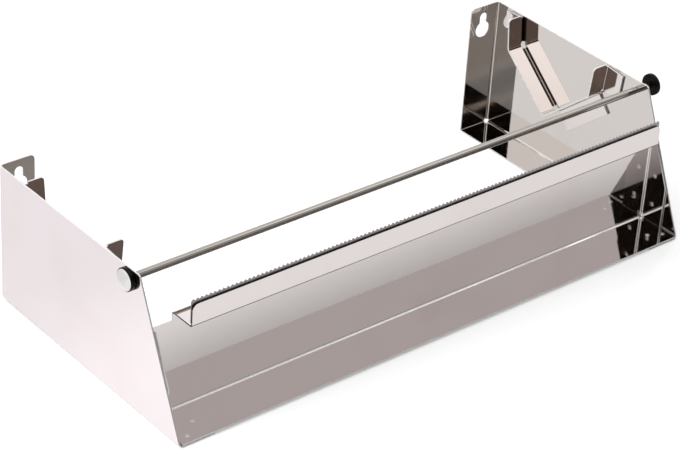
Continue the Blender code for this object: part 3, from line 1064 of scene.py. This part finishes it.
studio = {
    "floorSize": 14.0,
    "floorDrop": 0.0004,  # below the resting plane
    "floorColour": (0.86, 0.86, 0.86),
    "floorCameraGlow": 0.45,  # keeps the ground white where the camera sees it
    # Mirrors see the ground grow brighter from one distance off the wall to another, and by how much:
    # painted shade near the front sheet and painted light to the left
    "glowAhead": (-0.200, -0.310, 0.34),
    "glowLeft": (0.020, -0.150, 0.16),
    "glowLeftEdge": -0.200,  # that one only to the left of this
    "floorPolish": 0.7,  # share of the ground that mirrors see as polished
    "floorRoughness": 0.12,
    "floorSpecular": 0.2,
    "skyLight": 0.32,
    "skySeen": 1.0,
    "keyPower": 24.0,
    "keySize": 1.8,
    "keyAzimuth": -70.0,  # from +Y towards +X
    "keyElevation": 60.0,
    "keyDistance": 1.6,
    "darkColour": (0.004, 0.003, 0.002),
    # Each patch: azimuth and elevation of its middle, and how many degrees from there it ends and is whole.
    # The dark round the camera, a grey one, and the low band that runs on to both sides
    "darkPatch": (-139.0, 31.7, 30.0, 17.0),
    "greyPatch": (147.0, 30.0, 38.0, 20.0),
    "greyShare": 0.5,
    "bandPatch": (-175.0, 0.0, 88.0, 68.0),
    "bandTop": 14.0,  # elevations at which the band ends and is whole
    "bandTopCore": 6.0,
    "foldLights": [(-127.0, 48.0, 4.0), (108.0, 53.0, 2.2), (4.0, 49.0, 4.2)],  # azimuth, elevation, power
    "foldDistance": 3.0,
    "foldSize": 1.0,
}


def directionTo(azimuth, elevation):
    turn = math.radians(azimuth)
    lift = math.radians(elevation)
    return Vector((math.sin(turn) * math.cos(lift), math.cos(turn) * math.cos(lift), math.sin(lift)))


def makeFloor():
    mesh = bpy.data.meshes.new("studio_floor")
    half = studio["floorSize"] / 2
    level = -studio["floorDrop"]
    corners = [(-half, -half, level), (half, -half, level), (half, half, level), (-half, half, level)]
    mesh.from_pydata(corners, [], [(0, 1, 2, 3)])
    floor = linkObject("studio_floor", mesh)
    material, tree, shader = startMaterial("white ground")
    path = addNode(tree, "ShaderNodeLightPath").outputs
    place = addNode(tree, "ShaderNodeSeparateXYZ", {0: objectPlace(tree)}).outputs
    # Painted shade near the front sheet and painted light to the left, seen only in mirrors
    ahead, beside = [rampNode(tree, place["Y"], middle.y + start, middle.y + end, share)
                     for start, end, share in (studio["glowAhead"], studio["glowLeft"])]
    leftward = mathNode(tree, "LESS_THAN", place["X"], middle.x + studio["glowLeftEdge"])
    glow = mathNode(tree, "MAXIMUM", mathNode(tree, "MULTIPLY", leftward, beside), ahead)
    gloss = mathNode(tree, "MULTIPLY", path["Is Glossy Ray"], glow)
    camera = mathNode(tree, "MULTIPLY", path["Is Camera Ray"], studio["floorCameraGlow"])
    feedNode(tree, shader, {
        "Base Color": (*studio["floorColour"], 1),
        "Roughness": studio["floorRoughness"],
        "Specular IOR Level": studio["floorSpecular"],
        "Metallic": mathNode(tree, "MULTIPLY", path["Is Glossy Ray"], studio["floorPolish"]),
        "Emission Color": (1, 1, 1, 1),
        "Emission Strength": mathNode(tree, "ADD", camera, gloss),
    })
    mesh.materials.append(material)


def makeWorld():
    # White all round for camera and mirrors but for the dark room behind the camera, dimmer as a light
    world = bpy.data.worlds.new("studio world")
    world.use_nodes = True
    bpy.context.scene.world = world
    tree = world.node_tree
    direction = addNode(tree, "ShaderNodeTexCoord").outputs["Generated"]

    def patch(way, azimuth, elevation, edge, core):
        # One inside the core angle round the given direction, nothing beyond the edge angle
        values = {0: way, 1: directionTo(azimuth, elevation)}
        toMiddle = addNode(tree, "ShaderNodeVectorMath", values, operation="DOT_PRODUCT").outputs["Value"]
        return rampNode(tree, toMiddle, math.cos(math.radians(edge)), math.cos(math.radians(core)))

    parts = addNode(tree, "ShaderNodeSeparateXYZ", {0: direction}).outputs
    level = addNode(tree, "ShaderNodeCombineXYZ", {"X": parts["X"], "Y": parts["Y"]}).outputs[0]
    level = addNode(tree, "ShaderNodeVectorMath", {0: level}, operation="NORMALIZE").outputs[0]
    low = patch(direction, 0, -90, 90 + studio["bandTop"], 90 + studio["bandTopCore"])  # from straight down
    band = mathNode(tree, "MULTIPLY", patch(level, *studio["bandPatch"]), low)
    grey = mathNode(tree, "MULTIPLY", patch(direction, *studio["greyPatch"]), studio["greyShare"])
    dark = mathNode(tree, "MAXIMUM", patch(direction, *studio["darkPatch"]), band)
    dark = mathNode(tree, "MAXIMUM", dark, grey)
    path = addNode(tree, "ShaderNodeLightPath").outputs
    seen = mathNode(tree, "ADD", path["Is Camera Ray"], path["Is Glossy Ray"], clamp=True)
    seen = mathNode(tree, "ADD", seen, path["Is Transmission Ray"], clamp=True)
    hidden = mathNode(tree, "MULTIPLY", dark, mathNode(tree, "SUBTRACT", 1, path["Is Camera Ray"]))
    strengths = {"Factor": seen, 2: studio["skyLight"], 3: studio["skySeen"]}  # its number inputs
    feedNode(tree, tree.nodes["Background"], {
        "Color": blendColours(tree, hidden, (1, 1, 1), studio["darkColour"]),
        "Strength": addNode(tree, "ShaderNodeMix", strengths, data_type="FLOAT").outputs[0],
    })


def makeSoftbox(name, azimuth, elevation, distance, size, power, mirrored=True):
    lamp = bpy.data.lights.new(name, "AREA")
    lamp.shape = "SQUARE"
    lamp.size = size
    lamp.energy = power
    box = linkObject(name, lamp)
    way = directionTo(azimuth, elevation)
    box.location = way * distance
    box.rotation_mode = "QUATERNION"
    box.rotation_quaternion = way.to_track_quat("Z", "Y")
    box.visible_camera = False
    box.visible_glossy = mirrored


makeFloor()
makeWorld()
makeSoftbox("key_softbox", studio["keyAzimuth"], studio["keyElevation"], studio["keyDistance"],
            studio["keySize"], studio["keyPower"], mirrored=False)
for number, (azimuth, elevation, power) in enumerate(studio["foldLights"]):  # bright lines in the folds
    makeSoftbox("fold_softbox_%d" % (number + 1), azimuth, elevation, studio["foldDistance"],
                studio["foldSize"], power)
print("studio lit")


# Camera at the photograph's angle

cameraPlace = {
    "target": (0.2870, 0.3526, -0.2469),
    "distance": 2.4063,
    "azimuth": -41.0094,  # negative is from the left of the front
    "elevation": 31.6992,
    "roll": 3.8238,
    "lens": 131.55,
    "sensor": 36.0,
    "near": 0.05,  # nothing nearer or farther than these is drawn
    "far": 50.0,
}


def makeCamera():
    roll = math.radians(cameraPlace["roll"])
    back = directionTo(cameraPlace["azimuth"], cameraPlace["elevation"])
    back.y = -back.y  # this azimuth is measured from the front
    right = Vector((0, 0, 1)).cross(back).normalized()
    up = back.cross(right)
    levelX = right * math.cos(roll) + up * math.sin(roll)
    levelY = up * math.cos(roll) - right * math.sin(roll)
    lens = bpy.data.cameras.new("photo_camera")
    lens.lens = cameraPlace["lens"]
    lens.sensor_width = cameraPlace["sensor"]
    lens.clip_start = cameraPlace["near"]
    lens.clip_end = cameraPlace["far"]
    camera = linkObject("photo_camera", lens)
    turned = Matrix((levelX, levelY, back)).transposed().to_4x4()
    turned.translation = Vector(cameraPlace["target"]) + back * cameraPlace["distance"]
    camera.matrix_world = turned
    bpy.context.scene.camera = camera


makeCamera()
bpy.context.scene.view_settings.view_transform = "Standard"

print("all pieces in place")
